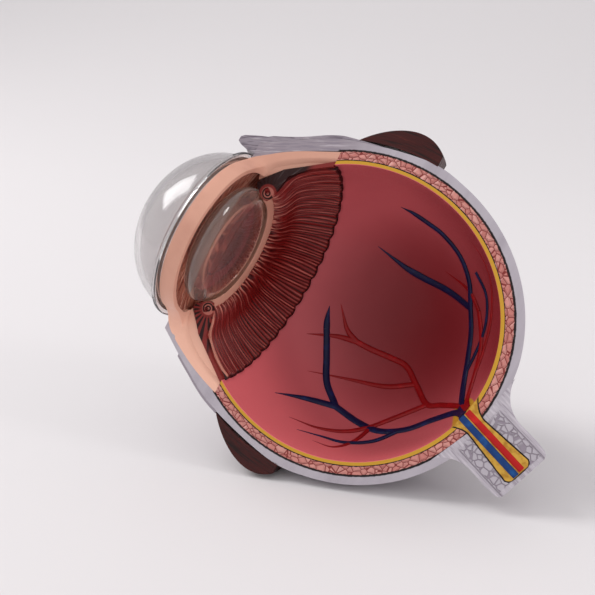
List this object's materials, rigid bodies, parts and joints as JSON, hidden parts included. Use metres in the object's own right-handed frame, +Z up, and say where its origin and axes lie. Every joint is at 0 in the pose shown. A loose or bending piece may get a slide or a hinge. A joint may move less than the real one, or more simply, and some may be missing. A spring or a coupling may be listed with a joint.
{
  "type": "anatomical eye model",
  "caption": "Enlarged teaching model of the lower half of a right eye, cut open to show its coats, lens, folds and nerve, with a lift-off clear cornea and lens",
  "frame": {"origin": "on the floor, at the middle of the small flat under the globe, straight below the middle of the eye", "axes": "+Z up; the cut face leans back and faces -Y; the cornea points to -X and climbs, so the optic nerve is at +X"},
  "size_m": [0.1128, 0.0689, 0.0899],
  "materials": {
    "sclera": "painted grey-lavender, satin",
    "choroid": "painted pink with dark streaks, satin",
    "retina": "painted salmon to maroon, glossy, yellow cut edge",
    "front_frame": "peach, satin",
    "iris": "painted brown with radial streaks, glossy",
    "pupil": "black, matt",
    "ciliary_body": "painted dark maroon with pink ridges, satin",
    "ciliary_muscle": "painted dark red, satin",
    "artery": "painted red, glossy",
    "lens_seat": "peach, satin",
    "lens": "clear cast plastic, polished",
    "cornea": "clear moulded plastic, polished",
    "nerve_core": "painted yellow, satin",
    "nerve_sheath": "painted grey-lavender with a faint net relief, satin",
    "vein": "painted blue, glossy",
    "muscle": "painted dark red-brown with fibre streaks, satin",
    "tendon": "painted grey with fine fibres, satin"
  },
  "bodies": {
    "eye": {"sclera_shell": "sclera", "choroid_layer": "choroid", "retina_layer": "retina", "front_frame": "front_frame", "iris": "iris", "pupil_disc": "pupil", "ciliary_body": "ciliary_body", "lateral_ciliary_muscle": "ciliary_muscle", "medial_ciliary_muscle": "ciliary_muscle", "arterial_circle": "artery", "lens_seat": "lens_seat", "optic_nerve_core": "nerve_core", "nerve_sheath": "nerve_sheath", "nerve_artery": "artery", "nerve_vein": "vein", "lateral_rectus": "muscle", "medial_rectus": "muscle", "inferior_rectus": "muscle", "inferior_oblique": "muscle", "lateral_tendon": "tendon", "medial_tendon": "tendon", "retinal_veins": "vein", "retinal_arteries": "artery"},
    "cornea": {"cornea": "cornea"},
    "lens": {"lens": "lens"}
  },
  "joints": [
    {"name": "cornea_slide", "type": "slide", "parent": "eye", "child": "cornea", "axis": [-0.9185, 0.1235, 0.3757], "range_m": [0, 0.015]},
    {"name": "lens_slide", "type": "slide", "parent": "eye", "child": "lens", "axis": [0.3735, -0.9181, 0.1325], "range_m": [0, 0.03]}
  ]
}
